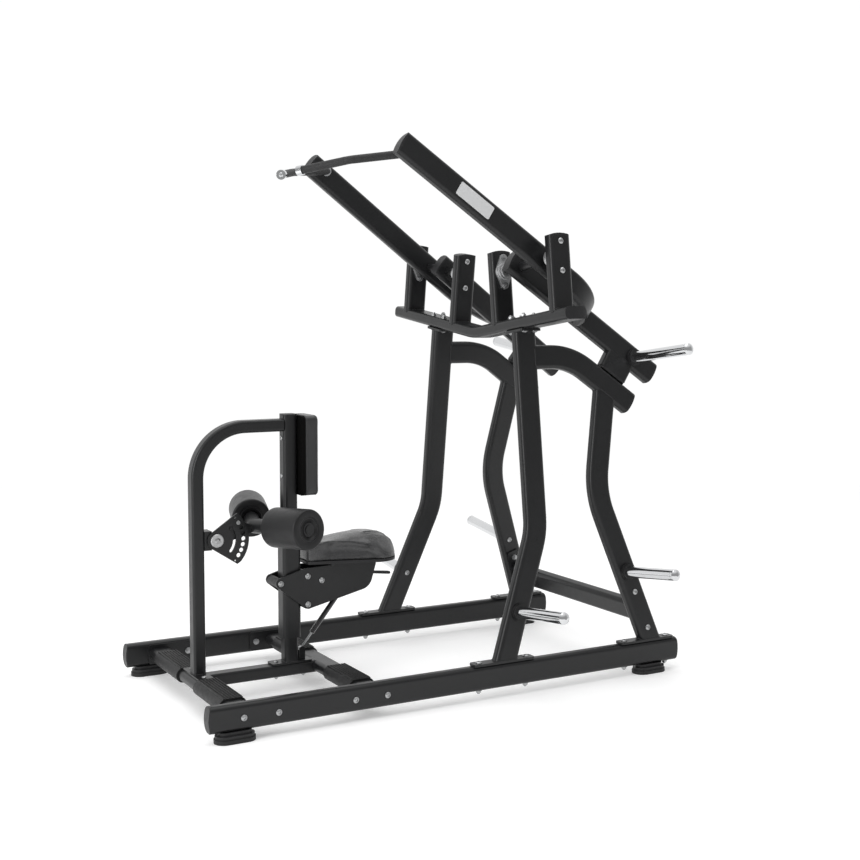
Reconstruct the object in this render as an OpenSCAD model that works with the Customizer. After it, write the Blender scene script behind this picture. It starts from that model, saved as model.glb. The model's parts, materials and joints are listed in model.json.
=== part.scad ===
// Plate-loaded lat pulldown machine with two converging arms, an adjustable seat and thigh rollers.
// Millimetres. Origin at the centre of the footprint on the floor, +X to the rear, +Z up.

/* [Base] */
// Length of the base over its end caps
base_length = 2146; // [1900:1:2400]
// Outer half width of the base over the side rails
base_half_width = 530; // [450:1:600]
// Height of the underside of the side rails above the floor
rail_bottom = 40; // [30:1:60]
// Centre of the front crossbar behind the front end
cross_front_x = 148; // [120:1:200]
// Centre of the middle crossbar behind the front end
cross_mid_x = 680; // [600:1:760]

/* [Frame tube] */
// Long side of the main tube section
tube_w = 100; // [80:1:120]
// Short side of the main tube section
tube_t = 50; // [40:1:60]
// Corner radius of the main tube section
tube_r = 18; // [5:1:24]
// Tube wall
wall = 4; // [2:0.5:6]

/* [Tower] */
// Inward lean of the side frames and tilt of the arm axles, degrees
lean = 7.3; // [0:0.1:12]
// Distance of the leg plane from the middle, measured in the leaning frame
leg_y = 517; // [450:1:560]
// Distance of the inner bearing post in the leaning frame
post_in_y = 367; // [320:1:400]
// Distance of the outer bearing post in the leaning frame
post_out_y = 797; // [740:1:840]
// Station of the arm axles behind the front end
axle_x = 1455; // [1400:1:1500]
// Height of the arm axles in the leaning frame
axle_z = 1680; // [1600:1:1750]
// Top of the head beam in the leaning frame
beam_top = 1470.5; // [1400:0.5:1550]
// Half length of the head beam in the leaning frame
beam_half = 902; // [860:1:940]
// Length of each bearing post above the head beam
post_height = 300.5; // [250:0.5:350]

/* [Arms] */
// Slope of the arms at rest, degrees
arm_slope = 35.2; // [25:0.1:45]
// Plane of the handle tube in the leaning frame
handle_y = 693; // [640:1:740]
// Reach of the handle tube ahead of the axle
arm_front = 765; // [650:1:850]
// Reach of the weight tube behind the axle
arm_rear = 798; // [700:1:880]
// Station of the weight sleeve along the arm
horn_s = 668; // [600:1:740]
// Diameter of the weight sleeves
horn_d = 48; // [25:0.5:50]
// Length of the loading sleeve on each arm
arm_horn_l = 374; // [250:1:420]
// Length of the storage sleeves
store_horn_l = 328; // [200:1:400]

/* [Seat] */
// Centre of the seat post behind the front end
seat_post_x = 542.5; // [500:0.5:600]
// Top of the seat post above the floor
seat_post_top = 1137; // [1000:1:1200]
// Underside of the seat cushion board above the floor
seat_z = 520; // [450:1:600]

/* [Thigh rollers] */
// Pivot of the thigh roller arm behind the front end
pivot_x = 221; // [200:1:240]
// Pivot height above the floor
pivot_z = 650; // [600:1:700]
// Foam roller diameter
roller_d = 160; // [100:1:180]
// Foam roller length
roller_l = 205; // [150:1:250]

/* [View] */
// Which piece to draw

/* [Hidden] */
$fn = 64;
x0 = base_length / 2;
rail_y = base_half_width - tube_t / 2;
rail_top = rail_bottom + tube_w;
beam_mid = beam_top - tube_t / 2;
gap = 0.3;
// a bend is drawn this much inside its straight runs, which reach this far into it
$inset = 0;
bend_inset = 0.25;
bend_lap = 1;
paint = "#1b1c1e";
steel = "#b9bbbd";
chrome = "#d9dcdf";
rubber = "#161616";
vinyl = "#26272a";
plastic = "#101011";
lever_p = [664, 452];
strut_lo = [592, 164];
strut_hi = [803, 425];
strut_a = atan2(strut_hi[1] - strut_lo[1], strut_hi[0] - strut_lo[0]);
strut_len = norm(strut_hi - strut_lo);
wheels = [[483.3, 454], [601.7, 474], [601.7, 358]];
pin_r = 112;

// ---------- shared shapes ----------
module at_base() translate([-x0, 0, 0]) children();

// s = -1 is the left side (-Y), s = 1 the right side; the child is drawn in the leaning frame
module side(s) {
  at_base() {
    if (s > 0) rotate([lean, 0, 0]) children();
    else mirror([0, 1, 0]) rotate([lean, 0, 0]) children();
  }
}

module rrect(w, h, r) {
  square([w - 2 * r, h], center = true);
  square([w, h - 2 * r], center = true);
  for (i = [-1, 1], j = [-1, 1]) translate([i * (w / 2 - r), j * (h / 2 - r)]) circle(r);
}

module section(w = tube_w, h = tube_t, r = tube_r, hollow = true) {
  if (hollow) {
    difference() {
      rrect(w - 2 * $inset, h - 2 * $inset, r - $inset);
      rrect(w - 2 * wall + 2 * $inset, h - 2 * wall + 2 * $inset, r - wall + $inset);
    }
  } else rrect(w - 2 * $inset, h - 2 * $inset, r - $inset);
}

// prism along a line in the XZ plane, with laps past its first and last point
module run(a, b, la = 0, lb = 0) {
  d = b - a;
  translate([a[0], 0, a[1]]) rotate([0, atan2(d[0], d[1]), 0])
    translate([0, 0, -la]) linear_extrude(norm(d) + la + lb) children();
}

// bend in the XZ plane about c, from angle a0 to a1 measured from +X towards +Z
module bend(c, r, a0, a1) {
  $inset = bend_inset;
  translate([c[0], 0, c[1]]) rotate([90, 0, 0]) rotate([0, 0, a0])
    rotate_extrude(angle = a1 - a0, $fn = 96) translate([r, 0]) children();
}

// outline round two circles of radius rp and rq, with the straight sides e inside the tangents
module link(p, rp, q, rq, e = 0) {
  d = norm(q - p);
  k = acos((rp - rq) / d);
  a = rp - e;
  b = rq - e;
  translate(p) rotate(atan2(q[1] - p[1], q[0] - p[0])) {
    circle(rp);
    translate([d, 0]) circle(rq);
    polygon([
      [a * cos(k), -a * sin(k)], [d + b * cos(k), -b * sin(k)],
      [d + b * cos(k), b * sin(k)], [a * cos(k), a * sin(k)]
    ]);
  }
}

// plate in the XZ plane from y0 to y1
module plate_xz(y0, y1) translate([0, y1, 0]) rotate([90, 0, 0]) linear_extrude(y1 - y0) children();

module dome(r, h) {
  k = h * 0.7;
  b = (r * r + k * k) / (2 * k);
  difference() {
    intersection() {
      cylinder(r = r, h = h);
      translate([0, 0, h - b]) sphere(b);
    }
    translate([0, 0, h * 0.35]) cylinder(r = r * 0.48, h = h, $fn = 6);
  }
}

// screw whose head rests on z = 0 and whose nut grips the far side at z = -grip
module screw(d, grip, head = 12, nut = true) {
  dome(head, head * 0.62);
  shank(d, grip, nut);
}

module shank(d, grip, nut = true) {
  translate([0, 0, -grip - (nut ? d + 3 : 0)]) cylinder(d = d, h = grip + 0.01 + (nut ? d + 3 : 0));
  if (nut) translate([0, 0, -grip - d * 0.8]) {
    cylinder(r = d * 0.95, h = d * 0.8 - 2.5, $fn = 6);
    translate([0, 0, d * 0.8 - 2.5]) cylinder(r = d * 1.12, h = 2.5);
  }
}

module hole(d, l = 400) translate([0, 0, -l / 2]) cylinder(d = d + 0.6, h = l);

// bulged end cap with a plug, outer side towards +Z
module end_cap(w = tube_w, h = tube_t, r = tube_r) {
  intersection() {
    linear_extrude(9) rrect(w, h, r);
    translate([0, h, -w * 1.6 + 9]) rotate([90, 0, 0]) cylinder(r = w * 1.6, h = 2 * h, $fn = 128);
  }
  translate([0, 0, -14]) linear_extrude(14.01)
    rrect(w - 2 * wall - 2 * gap, h - 2 * wall - 2 * gap, r - wall - gap);
}

// ---------- base ----------
rail_bolt_x = [135, 271, 585, 720];
leg_bolt_x = [1143, 1366, 1872, 2092];

module at_rail_bolts(s) for (x = rail_bolt_x)
  translate([x, s * base_half_width, 87]) rotate([-90 * s, 0, 0]) children();

module at_leg_bolts(s) for (x = leg_bolt_x) translate([x, s * rail_y, rail_top + 10]) children();

module rail(s) at_base() difference() {
  translate([9, s * rail_y, rail_bottom + tube_w / 2]) rotate([0, 90, 0])
    linear_extrude(base_length - 18) section();
  at_rail_bolts(s) hole(12, 140);
  at_leg_bolts(s) hole(12, 300);
}

module rail_left() color(paint) rail(-1);
module rail_right() color(paint) rail(1);

module at_feet() at_base() for (s = [-1, 1], x = [108, 2005]) translate([x, s * rail_y, 0]) children();

module oval(l, w) link([-(l - w) / 2, 0], w / 2, [(l - w) / 2, 0], w / 2);

module foot_mounts() color(plastic) at_feet() {
  translate([0, 0, 21]) linear_extrude(7) oval(150, 74);
  translate([0, 0, 28]) linear_extrude(rail_bottom - 28) oval(128, 52);
}

module feet() color(rubber) at_feet() {
  linear_extrude(15) oval(158, 82);
  translate([0, 0, 15]) linear_extrude(6) oval(150, 74);
}

module flat_oval(w, h, t = 0) oval(w - 2 * t, h - 2 * t);

// crossbar between the rails with bolted end plates reaching from f0 to f1, its tube notched round the nuts
module crossbar(x, f0, f1) at_base() difference() {
  union() {
    difference() {
      translate([x, base_half_width - tube_t - 6, 90]) rotate([90, 0, 0])
        linear_extrude(2 * (base_half_width - tube_t - 6)) difference() {
          oval(96, 46);
          oval(96 - 2 * wall, 46 - 2 * wall);
        }
      for (s = [-1, 1]) at_rail_bolts(s) translate([0, 0, -tube_t - 24]) cylinder(r = 15, h = 30);
    }
    for (s = [-1, 1]) translate([(f0 + f1) / 2, s * (base_half_width - tube_t) - 3 * s, 88])
      rotate([90, 0, 0]) linear_extrude(6, center = true) rrect(f1 - f0, 84, 12);
  }
  for (s = [-1, 1]) at_rail_bolts(s) hole(12, 140);
}

module crossbar_front() color(paint) difference() {
  crossbar(cross_front_x, 96, 300);
  at_base() for (s = [-1, 1]) translate([cross_front_x, s * 72, 90]) hole(10, 200);
}

module crossbar_middle() color(paint) crossbar(cross_mid_x, 556, 750);

module centre_beam() color(paint) at_base() difference() {
  translate([cross_front_x, 0, 88]) rotate([0, 90, 0])
    linear_extrude(cross_mid_x - cross_front_x) difference() {
      rrect(50, 60, 10);
      rrect(42, 52, 6);
    }
  for (x = [cross_front_x, cross_mid_x]) translate([x, 100, 90]) rotate([90, 0, 0])
    linear_extrude(200) oval(96, 46);
  for (x = [482, 602]) translate([x, 0, 100]) hole(10, 200);
}

module tread(w) {
  difference() {
    union() {
      oval(112, 60);
      for (i = [-3:3]) translate([i * 12, 29.2]) square([6, 4], center = true);
    }
    oval(96 + 2 * gap, 46 + 2 * gap);
  }
}

module treads() color(rubber) at_base() for (s = [-1, 1]) {
  translate([cross_front_x, s * 242 + 143, 90]) rotate([90, 0, 0]) linear_extrude(286) tread();
  translate([cross_mid_x, s * 268 + 118, 90]) rotate([90, 0, 0]) linear_extrude(236) tread();
}

module base_bolts() color(steel) at_base() {
  for (s = [-1, 1]) at_rail_bolts(s) screw(12, tube_t + 6);
  for (s = [-1, 1]) translate([cross_front_x, s * 72, 121]) screw(10, 54, 9.5);
  for (x = [482, 602]) translate([x, 0, 121]) screw(10, 58, 9.5);
  for (z = [885, 1040]) translate([seat_post_x - 30, 0, z]) rotate([0, -90, 0]) screw(8, 70, 9, false);
  translate([pivot_x, -37, pivot_z]) rotate([90, 0, 0]) {
    cylinder(r = 27, h = 5);
    translate([0, 0, 5]) cylinder(r1 = 27, r2 = 24.5, h = 2);
    translate([0, 0, 7]) dome(12, 4);
    shank(16, 74);
  }
}

// ---------- front post and seat post ----------
post_plate_z = 113;

module front_post() color(paint) at_base() difference() {
  union() {
    translate([cross_front_x, 0, post_plate_z]) linear_extrude(8) rrect(62, 194, 8);
    run([149, 121], [149, 893]) j_section();
    bend([349, 893], 200, 90, 180) j_section();
    run([349, 1093], [seat_post_x - 30, 1093]) j_section();
    plate_xz(-29, 29) translate([188, pivot_z]) square([30, 76], center = true);
    plate_xz(29, 37) link([186, pivot_z], 24, [pivot_x, pivot_z], 24);
  }
  for (s = [-1, 1]) translate([cross_front_x, s * 72, 120]) hole(10, 60);
  translate([pivot_x, 0, pivot_z]) rotate([90, 0, 0]) hole(16, 200);
  translate([pivot_x, 0, pivot_z]) rotate([90, 0, 0]) cylinder(r = 26.5, h = 58, center = true);
}

module j_section() difference() {
  rrect(50, 60, 12);
  rrect(43, 53, 8.5);
}

module seat_post() color(paint) at_base() difference() {
  union() {
    translate([seat_post_x, 0, 113]) linear_extrude(8) translate([0.5, 0]) rrect(176, 62, 8);
    translate([seat_post_x, 0, 121]) linear_extrude(seat_post_top - 127) difference() {
      rrect(60, 60, 15);
      rrect(53, 53, 11.5);
    }
    for (y = [-17, 11]) plate_xz(y, y + 6) {
      translate([strut_lo[0], 140]) square([24, 40], center = true);
      translate(strut_lo) circle(12);
    }
    plate_xz(-17, 17) translate(strut_lo) circle(5);
  }
  for (x = [482, 602]) translate([x, 0, 120]) hole(10, 60);
  for (z = [885, 1040]) translate([seat_post_x, 0, z]) rotate([0, 90, 0]) hole(8, 200);
}

module post_sleeve() color(paint) at_base() translate([seat_post_x, 0, 222]) linear_extrude(375)
  difference() {
    rrect(78, 78, 18);
    rrect(60 + 2 * gap, 60 + 2 * gap, 15 + gap);
  }

// ---------- chest pad ----------
module chest_outline(m) rrect(160 - 2 * m, 327 - 2 * m, 18 - m / 2);

module chest_board() color(plastic) at_base() difference() {
  translate([seat_post_x + 30, 0, 969.5]) rotate([90, 0, 90]) linear_extrude(12) chest_outline(2);
  for (z = [885, 1040]) translate([seat_post_x + 30, 0, z]) rotate([0, 90, 0]) hole(8, 200);
}

module chest_pad() color(vinyl) at_base() translate([seat_post_x + 42 + gap, 0, 969.5])
  rotate([90, 0, 90]) linear_extrude(57.2) chest_outline(0);

// ---------- tower ----------
foot_cut = rail_top + 9;

module above_rail() difference() {
  children();
  translate([0, 0, foot_cut - 300]) cube([6000, 4000, 600], center = true);
}

leg_a = atan(0.373);
leg_k = [1455, 586.5];
leg_bt = 300 * tan(leg_a / 2);

module front_leg_path() {
  translate([0, leg_y, 0]) {
    run([leg_k[0], leg_k[1] + leg_bt], [leg_k[0], beam_top - tube_t - 9], bend_lap) children();
    bend([leg_k[0] - 300, leg_k[1] + leg_bt], 300, -leg_a, 0) children();
    run([leg_k[0] - 600 * sin(leg_a), leg_k[1] - 600 * cos(leg_a)],
        [leg_k[0] - leg_bt * sin(leg_a), leg_k[1] - leg_bt * cos(leg_a)], 0, bend_lap) children();
  }
}

module at_flange_bolts() for (x = [1430, 1480], y = [470, 564])
  translate([x, y, beam_top - tube_t - 10]) rotate([180, 0, 0]) children();

module base_plate(s, x_a, x_b) at_base() difference() {
  translate([(x_a + x_b) / 2, s * rail_y, rail_top]) linear_extrude(10) rrect(x_b - x_a, 50, 10);
  at_leg_bolts(s) hole(12, 300);
}

module front_leg(s) {
  above_rail() difference() {
    side(s) front_leg_path() section();
    side(s) translate([1336, leg_y, 267]) rotate([90, 0, 0]) hole(12, 120);
  }
  side(s) difference() {
    translate([axle_x, leg_y, beam_top - tube_t - 10]) linear_extrude(10) rrect(98, 124, 10);
    at_flange_bolts() hole(12);
  }
  base_plate(s, 1112, 1398);
}

module front_leg_left() color(paint) front_leg(-1);
module front_leg_right() color(paint) front_leg(1);

// curved beam: level from the front leg, then down along the arm slope
cb_z = 1305.5;
cb_end = [1580 + 305 * sin(arm_slope), cb_z - 305 * (1 - cos(arm_slope))];
cb_tip = cb_end + 262 * [cos(arm_slope), -sin(arm_slope)];

module curved_beam(s) side(s) difference() {
  translate([0, leg_y, 0]) {
    run([1470, cb_z], [1580, cb_z], 0, bend_lap) section(tube_w, tube_t - 0.6);
    bend([1580, cb_z - 305], 305, 90 - arm_slope, 90) section(tube_w, tube_t - 0.6);
    run(cb_end, cb_tip, bend_lap) section(tube_w, tube_t - 0.6);
  }
  translate([axle_x, leg_y, cb_z - 100]) linear_extrude(200) section(hollow = false);
}

module curved_beam_left() color(paint) curved_beam(-1);
module curved_beam_right() color(paint) curved_beam(1);

rl_top = 10.15;
rl_low = -19.8;
rl_k = [1771.5, 728];
rl_bt = 390 * tan((rl_top - rl_low) / 2);

module rear_leg_path() translate([0, leg_y, 0]) {
  u = [sin(rl_top), cos(rl_top)];
  d = [sin(rl_low), cos(rl_low)];
  run(rl_k + rl_bt * u, rl_k + 460 * u, bend_lap) children();
  bend(rl_k + rl_bt * u + 390 * [cos(rl_top), -sin(rl_top)], 390, 180 - rl_top, 180 - rl_low) children();
  run(rl_k - 760 * d, rl_k - rl_bt * d, 0, bend_lap) children();
}

module at_rear_flange() translate([2002.6 - 0.3595 * 126, 0, 211]) rotate([0, rl_low, 0]) children();

module at_rear_bolts() for (z = [-84, 84])
  at_rear_flange() translate([0, leg_y + 24.4, z]) rotate([-90, 0, 0]) children();

module rear_leg(s) {
  above_rail() difference() {
    side(s) rear_leg_path() section(tube_w, tube_t - 1.2);
    side(s) translate([0, leg_y, 0]) run(cb_end, cb_tip) section(hollow = false);
    side(s) at_rear_bolts() hole(12, 120);
    side(s) translate([1897, leg_y, 379]) rotate([90, 0, 0]) hole(12, 120);
  }
  base_plate(s, 1842, 2122);
}

module rear_leg_left() color(paint) rear_leg(-1);
module rear_leg_right() color(paint) rear_leg(1);

module rear_crossbar() color(paint) {
  difference() {
    at_base() translate([1957.3, 470, 271]) rotate([0, rl_low, 0]) rotate([90, 0, 0])
      linear_extrude(940) difference() {
        rrect(50, 94, tube_r);
        rrect(42, 86, tube_r - wall);
      }
    for (s = [-1, 1]) side(s) translate([1957, leg_y - 31.4 + 100, 211]) cube([400, 200, 400], center = true);
  }
  for (s = [-1, 1]) side(s) difference() {
    at_rear_flange() translate([0, leg_y - 24.4, 0]) rotate([90, 0, 0]) linear_extrude(8) rrect(64, 236, 10);
    at_rear_bolts() hole(12, 160);
  }
}

module tower_bolts() color(steel) {
  for (s = [-1, 1]) {
    at_base() at_leg_bolts(s) screw(12, 110, 13);
    side(s) at_rear_bolts() screw(12, 56.8, 12);
    side(s) at_flange_bolts() screw(12, 60, 12);
    side(s) translate([1336, leg_y - 25, 267]) rotate([90, 0, 0]) screw(12, 64);
    side(s) translate([1897, leg_y - 24.4, 379]) rotate([90, 0, 0]) screw(12, 62.8);
    side(s) at_bearings() for (z = [-58.5, 58.5]) translate([0, z, -50]) rotate([180, 0, 0]) screw(12, 63);
  }
}

// ---------- head beam ----------
apex_z = beam_mid / cos(lean);
beam_bend = 300;

module head_bend() translate([axle_x - x0, 0, apex_z + beam_bend / cos(lean)]) rotate([0, 90, 0])
  rotate([0, 0, -lean]) rotate_extrude(angle = 2 * lean, $fn = 96) translate([beam_bend, 0]) rotate(90)
    section($inset = bend_inset);

module head_run(s) {
  y1 = (beam_mid + beam_bend) * tan(lean) - bend_lap;
  rotate([s * lean, 0, 0]) translate([axle_x - x0, s * y1, beam_mid]) rotate([-90 * s, 0, 0])
    linear_extrude(beam_half - 9 - y1) section();
}

module head_beam() color(paint) difference() {
  union() {
    head_run(-1);
    head_bend();
    head_run(1);
  }
  for (s = [-1, 1]) side(s) at_flange_bolts() hole(12);
}

module at_bearings() for (k = [[post_in_y + 25, -90], [post_out_y - 25, 90]])
  translate([axle_x, k[0], axle_z]) rotate([k[1], 0, 0]) children();

module at_bearing_bolts() at_bearings() for (z = [-58.5, 58.5]) translate([0, z, 0]) children();

module post_tubes() color(paint) for (s = [-1, 1]) side(s) difference() {
  for (y = [post_in_y, post_out_y]) translate([axle_x, y, beam_top - 20])
    linear_extrude(post_height + 11) section(tube_w - 1);
  translate([axle_x, 0, beam_mid]) rotate([-90, 0, 0]) linear_extrude(1200) section(hollow = false);
  at_bearing_bolts() hole(12, 130);
}

module frame_caps() color(plastic) {
  for (s = [-1, 1]) at_base() {
    translate([9, s * rail_y, rail_bottom + tube_w / 2]) rotate([0, -90, 0]) end_cap();
    translate([base_length - 9, s * rail_y, rail_bottom + tube_w / 2]) rotate([0, 90, 0]) end_cap();
  }
  at_base() translate([seat_post_x, 0, seat_post_top - 6]) {
    linear_extrude(6) rrect(60, 60, 15);
    translate([0, 0, -14]) linear_extrude(14.01) rrect(52.4, 52.4, 11.2);
  }
  for (s = [-1, 1]) side(s) tower_caps();
}

module tower_caps() {
  for (y = [post_in_y, post_out_y]) translate([axle_x, y, beam_top + post_height - 9]) end_cap(tube_w - 1);
  translate([axle_x, beam_half - 9, beam_mid]) rotate([-90, 0, 0]) end_cap();
  translate([cb_tip[0], leg_y, cb_tip[1]]) rotate([0, 90 + arm_slope, 0]) end_cap(tube_w, tube_t - 0.6);
}

// ---------- bearings ----------
module bearing_housings() color(steel) for (s = [-1, 1]) side(s) at_bearings() difference() {
  union() {
    linear_extrude(13) for (k = [-1, 1]) link([0, 0], 38, [0, k * 58.5], 15);
    cylinder(r = 35, h = 26);
    cylinder(r = 27, h = 34);
  }
  translate([0, 0, -1]) cylinder(r = 15.05, h = 60);
  for (z = [-58.5, 58.5]) translate([0, z, 0]) hole(12, 60);
}

// ---------- arms ----------
// arm frame: +X along the arm to the rear and down, +Z square to it and up, origin on the axle
module arm(s) side(s) translate([axle_x, 0, axle_z]) rotate([0, arm_slope, 0]) children();

module arm_axle(s) color(paint) arm(s) translate([0, post_in_y + 27, 0]) rotate([-90, 0, 0]) {
  cylinder(r = 15, h = post_out_y - post_in_y - 54);
  translate([0, 0, 42]) cylinder(r = 19, h = post_out_y - post_in_y - 54 - 84);
}

module arm_axle_left() arm_axle(-1);
module arm_axle_right() arm_axle(1);

module axle_hole() rotate([-90, 0, 0]) cylinder(r = 19.05, h = 1200);

module weight_solid() translate([-58 + 9, leg_y, 0]) rotate([0, 90, 0])
  linear_extrude(arm_rear + 58 - 18) children();

module weight_tube(s) color(paint) arm(s) difference() {
  union() {
    weight_solid() section();
    difference() {
      translate([617, leg_y, -118]) linear_extrude(90) difference() {
        rrect(145, 48, 14);
        rrect(137, 40, 10);
      }
      weight_solid() section(hollow = false);
    }
  }
  axle_hole();
}

module weight_tube_left() weight_tube(-1);
module weight_tube_right() weight_tube(1);

// handle tube: straight past the axle, then bent inwards onto the weight tube
module handle_solid() {
  translate([-arm_front + 9, handle_y, 0]) rotate([0, 90, 0]) linear_extrude(arm_front + 150 - 9) children();
  translate([150, handle_y - 200, 0]) rotate([0, 0, 90]) mirror([0, 1, 0])
    rotate_extrude(angle = 84, $fn = 96) translate([200, 0]) rotate(90) children();
}

module handle_tube(s) color(paint) arm(s) difference() {
  handle_solid() section(tube_w - 1);
  weight_solid() section(hollow = false);
  axle_hole();
  translate([-690, handle_y - 30, 16]) rotate([90, 0, 0]) hole(12, 40);
}

module handle_tube_left() handle_tube(-1);
module handle_tube_right() handle_tube(1);

// end caps, stop pad and blank plate carried by each arm
module arm_trim(s) color(plastic) arm(s) {
  translate([-58 + 9, leg_y, 0]) rotate([0, -90, 0]) end_cap();
  translate([arm_rear - 9, leg_y, 0]) rotate([0, 90, 0]) end_cap();
  translate([-arm_front + 9, handle_y, 0]) rotate([0, -90, 0]) end_cap(tube_w - 1);
  translate([617, leg_y, -127.8]) linear_extrude(9.8) rrect(138, 48, 14);
  translate([horn_s, leg_y + 25, 0]) rotate([-90, 0, 0]) collar();
}

module arm_trim_left() arm_trim(-1);
module arm_trim_right() arm_trim(1);

module sleeve(l, bolt = 0) difference() {
  union() {
    cylinder(d = horn_d - 1, h = l - 22);
    translate([0, 0, 18.5]) cylinder(d = horn_d, h = l - 42);
    translate([0, 0, l - 22]) cylinder(d = horn_d, h = 10);
    intersection() {
      translate([0, 0, l - 13]) cylinder(d = horn_d, h = 13);
      translate([0, 0, l - 30]) sphere(30);
    }
  }
  translate([0, 0, 14]) cylinder(d = horn_d - 8, h = l - 38);
  if (bolt > 0) cylinder(d = bolt + 0.6, h = 60, center = true);
}

module collar() difference() {
  union() {
    cylinder(r = 36, h = 10);
    translate([0, 0, 10]) cylinder(r = 33, h = 8);
  }
  translate([0, 0, -1]) cylinder(d = horn_d - 1 + 2 * gap, h = 40);
}

module arm_sleeve(s) color(chrome) arm(s)
  translate([horn_s, leg_y + 25, 0]) rotate([-90, 0, 0]) sleeve(arm_horn_l);

module arm_sleeve_left() arm_sleeve(-1);
module arm_sleeve_right() arm_sleeve(1);

module at_stores() for (s = [-1, 1]) side(s) {
  translate([1336, leg_y + 25, 267]) rotate([-90, 0, 0]) children();
  translate([1897, leg_y + 24.4, 379]) rotate([-90, 0, 0]) children();
}

module storage_sleeves() color(chrome) at_stores() sleeve(store_horn_l, 12);

module sleeve_collars() color(rubber) at_stores() collar();

// ---------- handles ----------
grip_v = [690, 536, 2079];
grip_turn = 11.1;
grip_in = 249;
grip_out = 206;
grip_r = 90;

// frame in the plane of the handle bar, origin where its two legs meet, +X between their directions
module at_grip(s) side(s) translate(grip_v) rotate([0, 0, 223.1]) rotate([0, 2.4, 0]) children();

module grip_leg(a, from, to) rotate([0, 0, a]) translate([from, 0, 0]) rotate([0, 90, 0])
  linear_extrude(to - from) circle(16);

module grip(s) color(rubber) difference() {
  at_grip(s) {
    bt = grip_r * tan(grip_turn);
    grip_leg(-grip_turn, -grip_in - 25, -bt + bend_lap);
    grip_leg(grip_turn, bt - bend_lap, grip_out);
    rotate([0, 0, -grip_turn]) translate([-bt, grip_r, 0]) rotate([0, 0, -90])
      rotate_extrude(angle = 2 * grip_turn, $fn = 96) translate([grip_r, 0]) circle(16 - bend_inset);
  }
  side(s) translate([901, handle_y - 24.5 - 8 + 100, 2091]) cube([400, 200, 400], center = true);
}

module grip_left() grip(-1);
module grip_right() grip(1);

// spacer between the bar and the handle tube, its bolt, and the turned end cap
module grip_ends(s) color(chrome) {
  side(s) translate([901, handle_y - 25.02, 2091]) rotate([90, 0, 0]) cylinder(r = 22, h = 7.4);
  at_grip(s) rotate([0, 0, grip_turn]) rotate([0, 90, 0]) {
    translate([0, 0, grip_out]) cylinder(r = 20, h = 24);
    translate([0, 0, grip_out + 24]) dome(9, 5);
  }
}

module grip_ends_left() grip_ends(-1);
module grip_ends_right() grip_ends(1);

// blank plate on the outer face of the left handle tube
module name_plate() color(steel) arm(-1)
  translate([-390, handle_y + 25, -1]) rotate([-90, 0, 0]) linear_extrude(1.5) rrect(172, 58, 6);

// ---------- thigh rollers ----------
module at_pivot(y0, y1) at_base() plate_xz(y0, y1) translate([pivot_x, pivot_z]) children();

module polar(r, a) rotate(a) translate([r, 0]) children();

module sector_plate() color(paint) at_pivot(-37, -29) difference() {
  union() {
    circle(38);
    intersection() {
      circle(134);
      polygon([[-17, -34], [84, -100], [150, -60], [150, 60], [86, 104], [-19, 33]]);
    }
  }
  circle(8.3);
  for (a = [-36:12:36]) polar(pin_r - 1, a) circle(9);
  for (a = [-48.4, 48.4]) polar(114.5, a) circle(3.5);
  for (a = [-38, 38]) polar(73.4, a) circle(6.5);
  intersection() {
    difference() {
      circle(73.4 + 6.4);
      circle(73.4 - 6.4);
    }
    polygon([[0, 0], 200 * [cos(38), -sin(38)], [260, 0], 200 * [cos(38), sin(38)]]);
  }
}

roller_apex = [392, 0, 691];
roller_tilt = 86.09;
roller_turn = 72.98;

module at_roller(s) at_base() translate(roller_apex) rotate([0, 0, s * roller_turn])
  rotate([0, roller_tilt, 0]) children();

module roller_arm() color(paint) {
  difference() {
    union() {
      at_pivot(-28.5, 28.5) circle(24.4);
      at_pivot(-28.5, -18.5) {
        link([0, 0], 25, [171, 41], 13, side_inset);
        link([0, 0], 20, (pin_r - 1) * [cos(36), sin(36)], 19, side_inset);
        polygon([[0, 0], [171, 41], (pin_r + 10) * [cos(36), sin(36)]]);
      }
      at_pivot(-20, 10) polar(pin_r - 1, 36) circle(13);
      at_pivot(-39, -27) polar(73.4, 37) circle(5.5);
      for (s = [-1, 1]) at_roller(s) {
        cylinder(r = 30, h = 125);
        cylinder(r = 12.5, h = 336);
        translate([0, 0, 335]) cylinder(r = 18, h = 3);
      }
      at_base() translate(roller_apex) sphere(29.7);
    }
    at_pivot(-29, 29) circle(8.06);
    at_pivot(-60, 60) polar(pin_r - 1, 36) circle(8.46);
  }
}

module roller_pin() color(steel) {
  at_pivot(-38, 13) polar(pin_r - 1, 36) circle(8.4);
  at_pivot(12, 30) polar(pin_r - 1, 36) circle(15);
}

module roller_core(s) color(plastic) at_roller(s) difference() {
  union() {
    translate([0, 0, 137]) cylinder(r = 16, h = 197);
    translate([0, 0, 137]) cylinder(r = 48, h = 8);
    translate([0, 0, 326]) cylinder(r = 48, h = 8);
  }
  cylinder(r = 12.56, h = 400);
  for (z = [131, 329]) translate([0, 0, z]) difference() {
    cylinder(r = 42, h = 11);
    translate([0, 0, -1]) cylinder(r = 27, h = 13);
  }
}

module roller_core_left() roller_core(-1);
module roller_core_right() roller_core(1);

module roller_foam(s) color(vinyl) at_roller(s) difference() {
  translate([0, 0, 133]) cylinder(d = roller_d, h = roller_l);
  cylinder(r = 16 + gap, h = 400);
  cylinder(r = 48 + gap, h = 145 + gap);
  translate([0, 0, 326 - gap]) cylinder(r = 48 + gap, h = 100);
}

module roller_foam_left() roller_foam(-1);
module roller_foam_right() roller_foam(1);

// ---------- seat ----------
side_inset = 0.03;

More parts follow.
